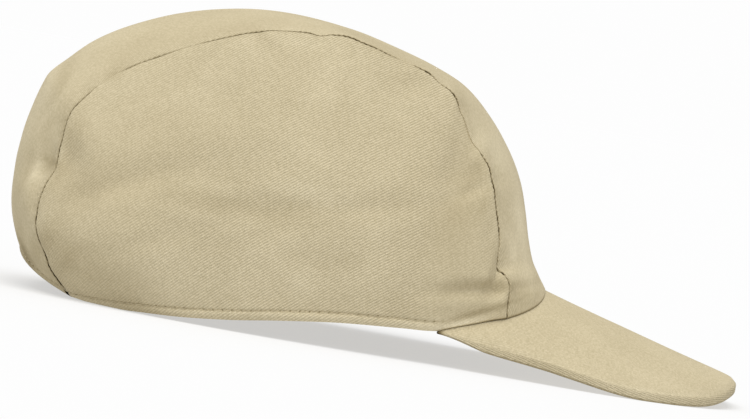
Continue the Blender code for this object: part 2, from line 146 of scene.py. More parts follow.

# Painted light and shade, where the cloth is painted darker or paler than its folds make it. The same
# columns; the last one is in thousandths of a halving of the light, above zero for paler.
painted_shading_rows = (
    (0.026, 0.570, 76.0, 0.120, 0.012, 170),
    (0.031, 0.350, 85.0, 0.040, 0.009, -200),
    (0.043, 0.320, 60.0, 0.026, 0.012, -60),
    (0.043, 0.402, 85.0, 0.030, 0.010, 250),
    (0.046, 0.165, -65.0, 0.035, 0.008, -200),
    (0.048, 0.470, 75.0, 0.060, 0.014, -120),
    (0.049, 0.122, -54.0, 0.034, 0.0045, -400),
    (0.056, 0.360, 10.0, 0.026, 0.018, 180),
    (0.060, 0.136, -54.0, 0.030, 0.0045, 140),
    (0.062, 0.090, -35.0, 0.070, 0.022, -130),
    (0.062, 0.579, 62.0, 0.045, 0.006, 150),
    (0.064, 0.088, -50.0, 0.034, 0.009, -330),
    (0.064, 0.705, 70.0, 0.035, 0.014, -130),
    (0.070, 0.215, 60.0, 0.040, 0.016, 130),
    (0.070, 0.395, 30.0, 0.018, 0.010, -240),
    (0.070, 0.416, -9.0, 0.024, 0.0085, -330),
    (0.070, 0.660, 78.0, 0.050, 0.013, -180),
    (0.074, 0.245, 85.0, 0.025, 0.009, -60),
    (0.078, 0.500, 85.0, 0.025, 0.009, 150),
    (0.084, 0.530, 85.0, 0.040, 0.013, -100),
    (0.091, 0.150, 60.0, 0.050, 0.020, -200),
    (0.091, 0.440, 80.0, 0.030, 0.008, 160),
    (0.095, 0.120, -60.0, 0.028, 0.009, 170),
    (0.096, 0.375, 80.0, 0.030, 0.012, -150),
    (0.110, 0.520, 75.0, 0.050, 0.022, -140),
    (0.114, 0.058, -35.0, 0.030, 0.016, -150),
    (0.143, 0.120, 60.0, 0.030, 0.016, -190),
    (0.145, 0.350, 10.0, 0.065, 0.045, -190),
    (0.145, 0.575, 20.0, 0.030, 0.030, 90),
    (0.162, 0.716, 25.0, 0.016, 0.010, -120),
    (0.165, 0.110, -27.0, 0.120, 0.045, -190),
    (0.168, 0.735, 60.0, 0.035, 0.022, -120),
    (0.200, 0.045, -20.0, 0.050, 0.012, 110),
    (0.220, 0.830, 22.0, 0.080, 0.035, -45),
    (0.270, 0.500, 10.0, 0.200, 0.120, -50),
    (0.272, 0.075, -30.0, 0.030, 0.030, -120),
    (0.300, 0.006, -8.0, 0.095, 0.016, -330),
    (0.300, 0.240, 20.0, 0.040, 0.014, -90),
    (0.320, 0.700, 5.0, 0.080, 0.040, 100),
    (0.350, 0.160, -20.0, 0.090, 0.070, 160),
    (0.350, 0.912, 18.0, 0.075, 0.013, -180),
    (0.375, 0.580, 0.0, 0.050, 0.030, -80),
    (0.383, 0.436, 0.0, 0.060, 0.011, 90),
    (0.386, 0.380, 2.0, 0.060, 0.014, -100),
    (0.414, 0.913, -30.0, 0.034, 0.012, -150),
    (0.440, 0.465, -4.0, 0.060, 0.030, -60),
    (0.470, 0.968, 0.0, 0.090, 0.010, -110),
    (0.490, 0.915, 5.0, 0.060, 0.018, 160),
    (0.519, 0.390, 0.0, 0.080, 0.030, -170),
    (0.530, 0.800, 70.0, 0.060, 0.035, 70),
    (0.538, 0.468, 0.0, 0.070, 0.020, 160),
    (0.565, 0.170, 90.0, 0.060, 0.032, 170),
    (0.579, 0.830, 90.0, 0.060, 0.015, -60),
    (0.610, 0.950, -16.0, 0.070, 0.010, -150),
    (0.660, 0.085, 4.0, 0.180, 0.014, 110),
    (0.677, 0.868, 12.0, 0.036, 0.012, -80),
    (0.688, 0.757, 0.0, 0.060, 0.035, 100),
    (0.690, 0.485, 5.0, 0.090, 0.050, -110),
    (0.757, 0.575, 10.0, 0.040, 0.020, -80),
    (0.760, 0.160, 6.0, 0.070, 0.024, -130),
    (0.775, 0.115, 8.0, 0.060, 0.012, 150),
    (0.792, 0.800, -60.0, 0.040, 0.010, -150),
    (0.805, 0.640, 70.0, 0.055, 0.030, -120),
    (0.812, 0.440, 80.0, 0.065, 0.035, -140),
    (0.812, 0.490, 15.0, 0.045, 0.034, -190),
    (0.830, 0.240, 15.0, 0.034, 0.014, -200),
    (0.838, 0.615, 65.0, 0.045, 0.020, -230),
    (0.838, 0.706, -60.0, 0.045, 0.020, 160),
    (0.850, 0.137, 20.0, 0.030, 0.010, 130),
    (0.855, 0.190, 12.0, 0.070, 0.030, -80),
    (0.858, 0.525, 80.0, 0.028, 0.009, -190),
    (0.864, 0.690, -70.0, 0.030, 0.013, 210),
    (0.866, 0.145, 22.0, 0.066, 0.013, 520),
    (0.872, 0.272, 6.0, 0.050, 0.012, -130),
    (0.880, 0.185, 25.0, 0.060, 0.006, -580),
    (0.895, 0.236, 12.0, 0.045, 0.010, -90),
    (0.903, 0.575, -70.0, 0.035, 0.010, -140),
    (0.912, 0.280, 8.0, 0.022, 0.012, -310),
    (0.918, 0.400, -75.0, 0.040, 0.014, 160),
    (0.918, 0.525, -67.0, 0.110, 0.016, 200),
    (0.925, 0.385, -75.0, 0.022, 0.010, 220),
    (0.935, 0.262, 0.0, 0.030, 0.010, -120),
    (0.936, 0.440, -74.0, 0.080, 0.012, 240),
    (0.966, 0.262, 0.0, 0.022, 0.013, -120),
)

# How dark the painted shadow in the line of a seam is. Columns: share of the seam from the back,
# halvings of the light. Where it is near zero the cloth of one panel bulges over the seam.
seam_lines = (
    (0.000, 5.0), (0.014, 9.0), (0.032, 7.6), (0.050, 5.4), (0.070, 7.4), (0.080, 4.0), (0.095, 3.4),
    (0.112, 4.2), (0.125, 1.6), (0.150, 0.9), (0.163, 0.7), (0.178, 2.2), (0.200, 2.1), (0.220, 1.8),
    (0.238, 1.0), (0.264, 1.0), (0.280, 0.1), (0.305, 0.2), (0.320, 1.2), (0.332, 0.7), (0.345, 0.9),
    (0.357, 1.1), (0.375, 0.6), (0.390, 0.1), (0.402, 0.1), (0.425, 0.6), (0.450, 0.9), (0.478, 1.1),
    (0.490, 0.5), (0.505, 0.1), (0.516, 0.1), (0.532, 0.6), (0.550, 0.4), (0.562, 0.4), (0.570, 1.6),
    (0.582, 3.8), (0.597, 3.2), (0.610, 1.8), (0.630, 1.8), (0.647, 0.3), (0.662, 0.1), (0.670, 2.0),
    (0.682, 3.6), (0.697, 1.2), (0.712, 1.2), (0.728, 4.6), (0.742, 1.2), (0.752, 0.1), (0.775, 0.0),
    (0.797, 0.0), (0.812, 2.6), (0.840, 4.4), (0.870, 5.0), (0.895, 4.2), (0.906, 1.2), (0.925, 1.9),
    (0.942, 3.0), (0.952, 0.8), (0.966, 2.7), (0.978, 2.4), (0.988, 1.3), (1.000, 4.0),
)

# How strongly a seam puckers. Columns: share of the seam from the back, height of the puckers in
# millimetres, and how far they reach from the seam in millimetres.
puckers = (
    (0.00, 0.16, 6.0),
    (0.15, 0.16, 7.0),
    (0.30, 0.12, 6.0),
    (0.50, 0.07, 5.0),
    (0.70, 0.10, 6.0),
    (0.85, 0.16, 7.0),
    (1.00, 0.16, 6.0),
)

# Where a seam strays from its even line. Columns: share of the seam from the back, how far it strays
# in millimetres, towards the cap's outline above zero, and over what share of the seam.
seam_jogs = (
    (0.060, -0.85, 0.014),
    (0.109, -0.30, 0.008),
    (0.162, -0.80, 0.011),
    (0.188, 0.30, 0.009),
    (0.254, -0.30, 0.014),
    (0.490, 0.24, 0.010),
    (0.550, -1.10, 0.011),
    (0.584, 0.40, 0.014),
    (0.616, 0.22, 0.012),
    (0.704, -0.78, 0.010),
    (0.745, -0.45, 0.010),
    (0.784, -1.10, 0.016),
    (0.820, 0.75, 0.013),
    (0.842, 0.30, 0.010),
    (0.914, 0.25, 0.010),
    (0.937, -1.30, 0.006),
    (0.963, 0.95, 0.011),
    (0.990, 0.15, 0.010),
)


def smooth_rows(rows, places):
    """Rows of a table read at fractional places, on one smooth curve through all of them."""
    table = np.asarray(rows, dtype=float)
    before = 2 * table[0] - table[1]
    after = 2 * table[-1] - table[-2]
    padded = np.vstack([before, table, after])
    places = np.clip(np.asarray(places, dtype=float), 0, len(table) - 1)
    low = np.minimum(places.astype(int), len(table) - 2)
    t = (places - low)[:, None]
    a, b, c, d = (padded[low + k] for k in range(4))
    return b + 0.5 * t * (c - a + t * (2 * a - 5 * b + 4 * c - d + t * (3 * (b - c) + d - a)))


def run_of(points):
    """Distance covered at each point of a line."""
    steps = np.linalg.norm(np.diff(points, axis=0), axis=-1)
    return np.concatenate([np.zeros_like(steps[:1]), np.cumsum(steps, axis=0)])


def unit(vectors):
    return vectors / np.maximum(np.linalg.norm(vectors, axis=-1, keepdims=True), 1e-12)


def ease(x, low, high):
    """0 below low, 1 above high, and smooth between them."""
    t = np.clip((x - low) / (high - low), 0, 1)
    return t * t * (3 - 2 * t)


def bell(x, width):
    return np.exp(-(x / width) ** 2)


def wander(run, pitch, seed):
    """Smooth random swing between -1 and 1 that turns about once in each pitch."""
    knots = np.random.default_rng(seed).uniform(-1, 1, 1024)
    t = run / pitch + 200
    low = np.floor(t).astype(int)
    t = t - low
    t = t * t * (3 - 2 * t)
    return knots[low % 1024] * (1 - t) + knots[(low + 1) % 1024] * t


def mottle(a, b, pitch, seed):
    """Smooth random swing over a surface, between -1 and 1."""
    knots = np.random.default_rng(seed).uniform(-1, 1, (64, 64))
    s, t = a / pitch + 32, b / pitch + 32
    i, j = np.floor(s).astype(int), np.floor(t).astype(int)
    s, t = s - i, t - j
    s, t = s * s * (3 - 2 * s), t * t * (3 - 2 * t)
    i, j, k, m = i % 64, j % 64, (i + 1) % 64, (j + 1) % 64
    return ((knots[i, j] * (1 - s) + knots[k, j] * s) * (1 - t)
            + (knots[i, m] * (1 - s) + knots[k, m] * s) * t)


def face_normals(grid):
    """Outward direction at each point of a grid that runs back to front and middle to left hem."""
    along = np.gradient(grid, axis=0)
    across = np.gradient(grid, axis=1)
    normal = np.cross(along, across)
    normal[0], normal[-1] = normal[2], normal[-3]    # at the ends the columns may meet in one point
    return unit(normal)


def fold_rise(points, table=folds):
    """Outward rise of the folds and dents at points of the crown; given the rows of painted shading, how
    much darker or paler the cloth is painted there instead.
    """
    on_left = ease(points[..., 1], -0.010, 0.035)
    along = (points[..., 0] - back) / crown_length + left_lag * on_left
    height = points[..., 2] / crown_height - left_lift * on_left
    rise = np.zeros(points.shape[:-1])
    for row in table:
        fold = dict(zip(fold_columns, row))
        slope = math.radians(fold["slope"])
        dx = along - fold["along"]
        dz = (height - fold["height"]) * crown_height / crown_length
        run = (dx * math.cos(slope) + dz * math.sin(slope)) / fold["half_length"]
        across = (dz * math.cos(slope) - dx * math.sin(slope)) / fold["half_width"]
        rise += fold["rise"] * 0.001 * np.exp(-run ** 2 - across ** 2)
    return rise


def seam_relief(run, away, seed):
    """Relief beside a seam: the groove that it lies in, then what its stitches gather, which is puckers
    and small slanting ridges."""
    share = run / run.max()
    row = np.interp(share.ravel(), [row[0] for row in puckers], np.arange(len(puckers)))
    height, reach = smooth_rows(puckers, row).T[1:] * 0.001
    height, reach = height.reshape(run.shape), reach.reshape(run.shape)
    swing = (0.5 * wander(run + 0.4 * away, fine_pucker, seed)
             + wander(run - 0.5 * away, broad_pucker, seed + 1))
    strength = 0.65 + 0.5 * wander(run, 0.019, seed + 2)
    pucker = height * swing * strength * np.exp(-away / reach)
    sharp = np.clip(seam_darkness(share) / 1.5, 0, 1)
    groove = -sharp * seam_groove * bell(away, groove_reach) - seam_trough * bell(away, trough_reach)
    ridge = np.cos(2 * math.pi * (run + 1.1 * away) / seam_stitch) * bell(away - pull_reach, pull_reach)
    ridge = ridge * seam_pull * sharp * (0.6 + 0.5 * wander(run, 0.006, seed + 3))
    return groove, pucker + ridge


def seam_hold(away):
    """What a fold keeps of its depth beside a seam, which is stiffer than the cloth."""
    return 0.35 + 0.65 * ease(away, 0.0005, 0.007)


def seam_darkness(share):
    return np.interp(share, [row[0] for row in seam_lines], [row[1] for row in seam_lines])


def seam_painted_shadow(run, away):
    """Painted shadow in the line of a seam, in halvings of the light. It comes and goes in short dashes,
    as the cloth is pinched at each stitch, and it is wider where it is darker."""
    dashes = 0.85 + 0.6 * wander(run, 0.0014, 91) + 0.35 * np.cos(2 * math.pi * run / seam_stitch)
    darkness = seam_darkness(run / run.max())
    return 1.4 * darkness * np.maximum(dashes, 0.1) * bell(away, 0.00013 + 0.00005 * darkness)


def seam_stray(share):
    """How far the seam strays from its even line, towards the cap's outline."""
    return sum(shift * 0.001 * bell(share - at, reach) for at, shift, reach in seam_jogs)


# The peak, which the front of the crown stands on
peak_half_width = 0.0700
arch_radius_corner = 0.0860    # arch across the peak, at its rear corners
arch_radius_tip = 0.1310
arch_opening = 2.5             # how quickly the arch opens ahead of the corners
outline_power = 2.25           # how square the peak's front outline is
widest_share = 0.38            # where the peak is widest, from the corner to the tip
nose_share = 0.66              # where the round front ends and the straighter side begins
corner_taper = 0.55            # how much of its wall the peak loses towards its rear corners
corner_thinning = 0.42         # and how much more of it close to them
thinning_from = 0.86
top_cover = 0.0016
under_cover = 0.0014
edge_roll = 0.0008             # room left for the rolled rim where the peak rests
corner_x = back + crown_length * 0.811
corner_y = crown_half_width * 0.906
junction_height = crown_height * strip_sections[-1][1]


def arch_drop(x, y):
    """How far the arched peak lies below its ridge. The arch opens quickly ahead of the corners."""
    share = np.clip((x - corner_x) / (tip - corner_x), 0, 1)
    opened = 1 - (1 - share) ** arch_opening
    return y ** 2 / (2 * (arch_radius_corner + (arch_radius_tip - arch_radius_corner) * opened))


def peak_outline(share):
    """Outline of the peak on the plan, from the tip (0) to the left rear corner (1)."""
    widest_x = corner_x + (tip - corner_x) * widest_share
    angle = np.clip(share / nose_share, 0, 1) * math.pi / 2
    side = np.clip((share - nose_share) / (1 - nose_share), 0, 1)
    nose_x = (tip - widest_x) * np.abs(np.cos(angle)) ** (2 / outline_power)
    nose_y = peak_half_width * np.sin(angle) ** (2 / outline_power)
    swell = side ** 2 * (3 - 2 * side)
    x = widest_x + nose_x - (widest_x - corner_x) * side
    y = nose_y + (corner_y - peak_half_width) * swell
    return np.stack([x, y], axis=-1)


def wall_share(share):
    """What the peak's wall keeps of its thickness, from the tip (0) to the rear corner (1)."""
    close = np.clip((share - thinning_from) / (1 - thinning_from), 0, 1)
    return 1 - corner_taper * share ** 4 - corner_thinning * close


def resting_slope():
    """Slope of the peak's ridge that lets both edges of the peak meet the resting surface."""
    share = np.linspace(0, 1, 181)
    x, y = peak_outline(share).T
    ahead = x > front + peak_reach / 4
    covers = (top_cover + under_cover) * wall_share(share)
    below_ridge = arch_drop(x, y) + edge_roll + covers + 2 * seam_gap
    return np.min((junction_height - below_ridge)[ahead] / (x - front)[ahead])


peak_slope = resting_slope()


def peak_height(x, y):
    """Height of the peak's top face."""
    return junction_height - seam_gap - peak_slope * (x - front) - arch_drop(x, y)


def strip_grid(places, across):
    """Outer face of the centre panel from its right seam (-1) over its middle to its left seam (1)."""
    middle_x, middle_z, seam_x, seam_z, seam_y, full_x, full_z = smooth_rows(strip_sections, places).T
    grid = np.zeros((len(places), len(across), 3))
    for column, v in enumerate(across):
        share_x = 1 - abs(v) ** full_x
        share_z = 1 - abs(v) ** full_z
        grid[:, column, 0] = back + crown_length * (seam_x + (middle_x - seam_x) * share_x)
        grid[:, column, 1] = strip_half_width * seam_y * v
        grid[:, column, 2] = crown_height * (seam_z + (middle_z - seam_z) * share_z)
    return grid


def even_places(count):
    """Places in the section table that are evenly spaced along the seam."""
    fine = np.linspace(0, len(strip_sections) - 1, 4000)
    seam = strip_grid(fine, np.array([1.0]))[:, 0]
    run = run_of(seam)
    return np.interp(np.linspace(0, run[-1], count), run, fine)


def from_edge(steps, middle):
    """Columns of a face: close together near both of its edges, even between them."""
    inside = np.linspace(steps[-1], 1 - steps[-1], middle + 2)[1:-1]
    return np.concatenate([steps, inside, 1 - np.asarray(steps)[::-1]])


fitting_rounds = 300


def flat_pattern(grid, start):
    """The face as a flat piece of cloth: a smooth map of its points to a plane, fitted in rounds until
    short steps on the cloth keep their lengths. It starts from a rough flat piece."""
    centre, size = grid.mean(axis=(0, 1)), np.ptp(grid, axis=(0, 1)).max() / 2
    powers = [(a, b, c) for a in range(5) for b in range(4) for c in range(5) if 0 < a + b + c < 5]

    def terms(points):
        x, y, z = np.moveaxis((points - centre) / size, -1, 0)
        return np.stack([x ** a * y ** b * z ** c for a, b, c in powers], axis=-1)

    rows, columns = grid.shape[:2]
    some_rows = np.linspace(0, rows - 1, 61).astype(int)
    some_columns = np.linspace(0, columns - 1, 23).astype(int)
    net = grid[np.ix_(some_rows, some_columns)]
    steps, true = [], []
    for near, far in ((net[:-1], net[1:]), (net[:, :-1], net[:, 1:]),
                      (net[:-1, :-1], net[1:, 1:]), (net[1:, :-1], net[:-1, 1:])):
        true.append(np.linalg.norm(far - near, axis=-1).ravel())
        steps.append((terms(far) - terms(near)).reshape(-1, len(powers)))
    steps, true = np.concatenate(steps), np.concatenate(true)[:, None]
    weight = 1 / (true + 0.001)
    fit = np.linalg.pinv(steps * weight, rcond=1e-4)
    spread = start - start.mean(axis=(0, 1))
    some = (slice(None, None, 10), slice(None, None, 6))
    known = terms(grid[some]).reshape(-1, len(powers))
    shape = np.linalg.lstsq(known - known.mean(axis=0), spread[some].reshape(-1, 2), rcond=1e-4)[0]
    for _ in range(fitting_rounds):
        shape = fit @ (unit(steps @ shape) * true * weight)
    return terms(grid) @ shape


sharp_angle = math.radians(48)


def wall_mesh(name, outer, inner, closed_ends, turned_over=False):
    """Closed wall of cloth between an outer face and an inner face with fewer columns. At a closed
    end all the columns meet in one point."""
    rows, columns = outer.shape[:2]
    coarse = inner.shape[1]
    top = np.arange(rows * columns).reshape(rows, columns)
    low = rows * columns + np.arange(rows * coarse).reshape(rows, coarse)
    if closed_ends:
        for index in (top, low):
            index[0], index[-1] = index[0, 0], index[-1, 0]
    faces = []
    for i in range(rows - 1):
        a, b, c, d = top[i, :-1], top[i + 1, :-1], top[i + 1, 1:], top[i, 1:]
        faces += np.stack([a, b, c, d], axis=-1).tolist()
        a, b, c, d = low[i, :-1], low[i, 1:], low[i + 1, 1:], low[i + 1, :-1]
        faces += np.stack([a, b, c, d], axis=-1).tolist()
        faces.append([top[i, -1], top[i + 1, -1], low[i + 1, -1], low[i, -1]])
        faces.append([top[i + 1, 0], top[i, 0], low[i, 0], low[i + 1, 0]])
    if not closed_ends:
        step = (columns - 1) // (coarse - 1)
        for j in range(coarse - 1):
            span = slice(j * step, (j + 1) * step + 1)
            faces.append(top[0, span].tolist() + [low[0, j + 1], low[0, j]])
            faces.append(top[-1, span][::-1].tolist() + [low[-1, j], low[-1, j + 1]])
    faces = [list(dict.fromkeys(int(v) for v in face)) for face in faces]
    faces = [face[::-1] if turned_over else face for face in faces if len(face) > 2]
    mesh = bpy.data.meshes.new(name)
    points = np.concatenate([outer.reshape(-1, 3), inner.reshape(-1, 3)])
    mesh.from_pydata(points.tolist(), [], faces)
    mesh.shade_smooth()
    mesh.set_sharp_from_angle(angle=sharp_angle)
    return mesh


def face_notes(mesh, outer_shape, inner_shape, **notes):
    """Puts values of the outer face on the mesh as attributes. The inner face takes the same ones,
    unless a second set is given for it."""
    step = (outer_shape[1] - 1) // (inner_shape[1] - 1)
    for name, values in notes.items():
        values, within = values if isinstance(values, tuple) else (values, values[:, ::step])
        both = np.concatenate([values.reshape(-1, *values.shape[2:]), within.reshape(-1, *values.shape[2:])])
        kind = "FLOAT" if both.ndim == 1 else "FLOAT2"
        attribute = mesh.attributes.new(name, kind, "POINT")
        attribute.data.foreach_set("value" if both.ndim == 1 else "vector", both.astype(np.float32).ravel())


# Hem of a side panel between the two seams of the centre panel: share of crown_length from the back,
# share of crown_half_width from the middle, share of crown_height.
hem_points = (
    (0.184, 0.701, 0.000),
    (0.212, 0.761, 0.000),
    (0.250, 0.823, 0.000),
    (0.285, 0.867, 0.004),
    (0.359, 0.937, 0.014),
    (0.449, 0.986, 0.034),
    (0.533, 1.000, 0.058),
    (0.639, 0.987, 0.083),
    (0.746, 0.950, 0.098),
    (0.811, 0.906, 0.107),
    (0.869, 0.831, 0.139),
    (0.912, 0.748, 0.165),
)

# How a side panel swells between its seam and its hem: share of the seam from the back, how steeply
# it leaves the seam, and how far it stands proud of the hem as a share of crown_half_width.
side_swell = (
    (0.00, 1.8, 0.000),
    (0.12, 2.0, 0.045),
    (0.30, 2.2, 0.060),
    (0.50, 2.3, 0.035),
    (0.75, 2.2, 0.025),
    (0.92, 1.9, 0.020),
    (1.00, 1.7, 0.000),
)

# Columns close to a seam and close to a hem, in metres from it
seam_steps = np.array([0.13, 0.22, 0.34, 0.5, 0.75, 1.15, 1.7, 2.5, 3.6, 5.1, 7.0]) * 0.001
hem_steps = np.array([0, 0.25, 0.6, 1.0, 1.5, 2.1, 2.7, 3.1, 3.5, 3.9, 4.4, 5.0, 5.8, 6.8, 8.2]) * 0.001
stitch_column = 8              # the column of hem_steps that the stitches lie on
side_columns = 85              # columns between those two sets
strip_columns = 89
strip_arc = 0.104              # the centre panel from seam to seam, over its round
rim_turn = 0.0003              # how far the hem rolls in at its rim
stitch_sink = 0.0004           # how far its stitches pull it in
hem_puff = 0.00030             # how far it stands up between rim and stitches
hem_twist = 0.00004            # slanting ridges that the stitches draw in it
hem_pucker = 0.00022           # puckers of the cloth above the stitches
crease_rise = 0.00022          # the highest of the faint creases


def hem_line(seam):
    """Hem of the left side panel, one point for each station of its seam."""
    scale = np.array([crown_length, crown_half_width, crown_height])
    inner = np.asarray(hem_points) * scale + np.array([back, 0, 0])
    rows = np.vstack([seam[0], inner, seam[-1]])
    fine = smooth_rows(rows, np.linspace(0, len(rows) - 1, 4000))
    fine[:, 2] = np.maximum(fine[:, 2], 0)
    on_peak = peak_height(fine[:, 0], fine[:, 1]) + seam_gap
    fine[:, 2] += (on_peak - fine[:, 2]) * ease(fine[:, 0], corner_x - 0.002, corner_x + 0.002)
    share = run_of(fine) / run_of(fine)[-1]
    seam_share = run_of(seam) / run_of(seam)[-1]
    return np.stack([np.interp(seam_share, share, fine[:, k]) for k in range(3)], axis=-1)


def side_grid(seam, hem):
    """Outer face of the left side panel from its seam to its hem. Where the panel is short, its close
    columns draw together."""
    share = run_of(seam) / run_of(seam)[-1]
    row = np.interp(share, [row[0] for row in side_swell], np.arange(len(side_swell)))
    swell = smooth_rows(side_swell, row)
    length = np.maximum(np.linalg.norm(hem - seam, axis=1), 1e-6)[:, None]
    by_seam = seam_steps * np.minimum(1 / length, 0.4 / seam_steps[-1])
    by_hem = hem_steps * np.minimum(1 / length, 0.45 / hem_steps[-1])
    between = np.linspace(0, 1, side_columns + 2)[1:-1]
    between = by_seam[:, -1:] + (1 - by_hem[:, -1:] - by_seam[:, -1:]) * between
    w = np.concatenate([by_seam, between, 1 - by_hem[:, ::-1]], axis=1)
    out = 1 - (1 - w) ** swell[:, 1:2]
    grid = seam[:, None] + (hem - seam)[:, None] * np.stack([w, out, w], axis=-1)
    grid[..., 1] += swell[:, 2:] * crown_half_width * np.sin(math.pi * w) ** 1.5
    return grid


def creases(a, b, count, seed):
    """Faint creases that lie about in the cloth, each a short soft ridge or hollow."""
    pick = np.random.default_rng(seed)
    rise = np.zeros(a.shape)
    for _ in range(count):
        at_a, at_b = pick.uniform(a.min(), a.max()), pick.uniform(b.min(), b.max())
        slope = math.radians(pick.normal(25, 30))
        run = ((a - at_a) * math.cos(slope) + (b - at_b) * math.sin(slope)) / pick.uniform(0.010, 0.030)
        across = ((b - at_b) * math.cos(slope) - (a - at_a) * math.sin(slope)) / pick.uniform(0.002, 0.006)
        rise += pick.uniform(-1, 1) * crease_rise * np.exp(-run ** 2 - across ** 2)
    return rise


def hem_relief(up, run, seed):
    """The turned edge, up from its rim: it rolls in at the rim and sinks at its stitches. Then what
    puffs and puckers between and beyond the stitches."""
    sunk = -rim_turn * (1 - ease(up, 0, 0.0011)) - stitch_sink * bell(up - hem_depth, 0.00045)
    puff = hem_puff * bell(up - 0.0019, 0.0011)
    twist = hem_twist * np.sin(2 * math.pi * (run + 0.6 * up) / stitch_pitch) * bell(up - 0.0018, 0.0016)
    gather = wander(run + 0.3 * up, 0.0036, seed) + 0.8 * wander(run - 0.2 * up, 0.0081, seed + 1)
    beyond = ease(up, 0.0028, 0.0046) * np.exp(-np.maximum(up - hem_depth, 0) / 0.006)
    return sunk, puff + twist + hem_pucker * gather * beyond


def lean(out, mitre, away):
    """Outward directions that turn to the mitre of two panels as they near their seam."""
    share = (1 - ease(away, 0, 0.003))[..., None]
    return unit(out + (mitre[:, None] - out) * share)


def ends_fade(run, reach):
    return ease(run, 0, reach) * ease(run.max() - run, 0, reach)


def needle_line(up, run):
    """Painted shade along a row of stitches, in a faint groove and deeper at a needle hole between two
    stitches.
    """
    holes = np.maximum(np.cos(2 * math.pi * run / stitch_pitch), 0) ** 8
    show = 0.6 + 0.5 * wander(run, 0.009, 77)
    return bell(up - hem_depth, 0.00035) * (0.25 + 1.9 * holes * show)


# The even faces of the centre panel and of the left side panel. The last stations settle on the peak.
places = even_places(stations)
strip_shares = from_edge(seam_steps / strip_arc, strip_columns)
strip = strip_grid(places, 2 * strip_shares - 1)
lift = peak_height(strip[-1, :, 0], strip[-1, :, 1]) + seam_gap - strip[-1, :, 2]
settle = ease(np.arange(stations), stations - settling, stations - 1)
strip[..., 2] += lift * settle[:, None]
seam = strip_grid(places, np.array([1.0]))[:, 0]
seam[:, 2] += lift[-1] * settle
hem = hem_line(seam)
side = side_grid(seam, hem)

# The two edges of a seam close up where its line fades, and the seam strays a little
mirror = np.array([1, -1, 1])
seam_run = run_of(seam)
seam_share = seam_run / seam_run[-1]
shut = (1 - outer_shut * np.clip(1 - seam_darkness(seam_share) / open_seam, 0, 1))[:, None]
side[:, 0] = seam + (side[:, 0] - seam) * shut
strip[:, -1] = seam + (strip[:, -1] - seam) * shut
strip[:, 0] = strip[:, -1] * mirror
course = np.gradient(seam, axis=0)
to_outline = unit(np.stack([-course[:, 2], 0 * seam_run, course[:, 0]], axis=-1))
stray = to_outline * (seam_stray(seam_share) * ends_fade(seam_run, 0.003))[:, None]
seam_line = seam + stray
side += stray[:, None] * bell(np.linalg.norm(side - seam[:, None], axis=-1), stray_reach)[..., None]
for half, turn in ((slice(None), np.ones(3)), (slice(None, None, -1), mirror)):
    near = np.linalg.norm(strip[:, half] - seam[:, None] * turn, axis=-1)
    strip[:, half] += (stray * turn)[:, None] * bell(near, stray_reach)[..., None]
strip_out = face_normals(strip)
side_out = face_normals(side)
left_mitre = unit(strip_out[:, -1] + side_out[:, 0])
right_mitre = left_mitre * mirror

# The centre panel's folds, the grooves of its two seams, and its hem
along = np.broadcast_to(seam_run[:, None], strip.shape[:2])
across_run = run_of(strip.transpose(1, 0, 2)).T
from_left = across_run[:, -1:] - across_run
up_back = run_of(strip)
up_front = up_back[-1:] - up_back
strip_lean = lean(lean(strip_out, left_mitre, from_left), right_mitre, across_run)
fade = ends_fade(along, 0.012)
calm = 1 - middle_calm * bell(strip[..., 1] - 0.008, 0.020)
sunk = fold_rise(strip) * calm * fade * seam_hold(np.minimum(across_run, from_left))
fine = strip_ripple * mottle(along, across_run, 0.017, 5) + creases(along, across_run, 26, 11)
for away, seed in ((across_run, 21), (from_left, 31)):
    groove, gathered = seam_relief(along, away, seed)
    sunk = sunk + groove * ends_fade(along, 0.004)
    fine = fine + gathered
hem_sunk, hem_fine = hem_relief(up_back, across_run, 41)
sunk = sunk + hem_sunk - sewn_down * bell(up_front, sewn_down)
sunk = sunk - hem_tuck * bell(up_back - 0.005, 0.008) * bell(strip[..., 1], 0.019)
at_hollow = bell(strip[..., 2] - 0.043, 0.046) * bell(strip[..., 0] - back - 0.003, 0.012)
sunk = sunk - back_hollow * at_hollow * fade
fine = (fine * ease(along, 0, 0.006) + hem_fine) * ease(up_front, 0, 0.004)
strip_face = strip + strip_lean * (sunk + fine)[..., None]

# Its wall is thicker at the hem and where the edges are turned in along the seams
strip_wall = cloth + (hem_wall - cloth) * (1 - ease(up_back, hem_depth, hem_depth + 0.0008))
by_seams = bell(across_run, allowance_reach) + bell(from_left, allowance_reach)
strip_wall = strip_wall + seam_allowance * by_seams * fade
inside = slice(None, None, inner_step)
strip_lining = (strip + strip_lean * (sunk - strip_wall)[..., None])[:, inside]
strip_lining[:, -1] += (seam_line - strip[:, -1]) * inner_shut
strip_lining[:, 0] += (seam_line * mirror - strip[:, 0]) * inner_shut
for grid in (strip_face, strip_lining):
    grid[..., 2] = np.maximum(grid[..., 2], 0)

# Its pattern and painted shading: painted light and shade over its folds, small ridges and hollows, and
# painted shade in its seams, along its hem and where it is sewn on the peak. The wales show more beside
# the seams than on the worn middle.
from_middle = across_run[:, -1:] / 2 - across_run
up_middle = up_back[:, strip.shape[1] // 2, None]
strip_weave = np.stack([from_middle, (up_back + up_middle) / 2], axis=-1)
strip_tone = (fold_rise(strip, painted_shading_rows) * calm + relief_shading * np.clip(fine / 0.0003, -1, 1)
              - seam_painted_shadow(along, across_run) - seam_painted_shadow(along, from_left)
              - sewn_shade * bell(up_front, sewn_down)
              - needle_line(up_back, across_run) - back_hem_shade * bell(up_back, 0.0024))
strip_nap = 0.35 + 0.45 * (bell(across_run, 0.006) + bell(from_left, 0.006))
centre_mesh = wall_mesh("centre_panel_cloth", strip_face, strip_lining, False)
face_notes(centre_mesh, strip_face.shape, strip_lining.shape, weave=strip_weave, tone=strip_tone,
           nap=strip_nap)


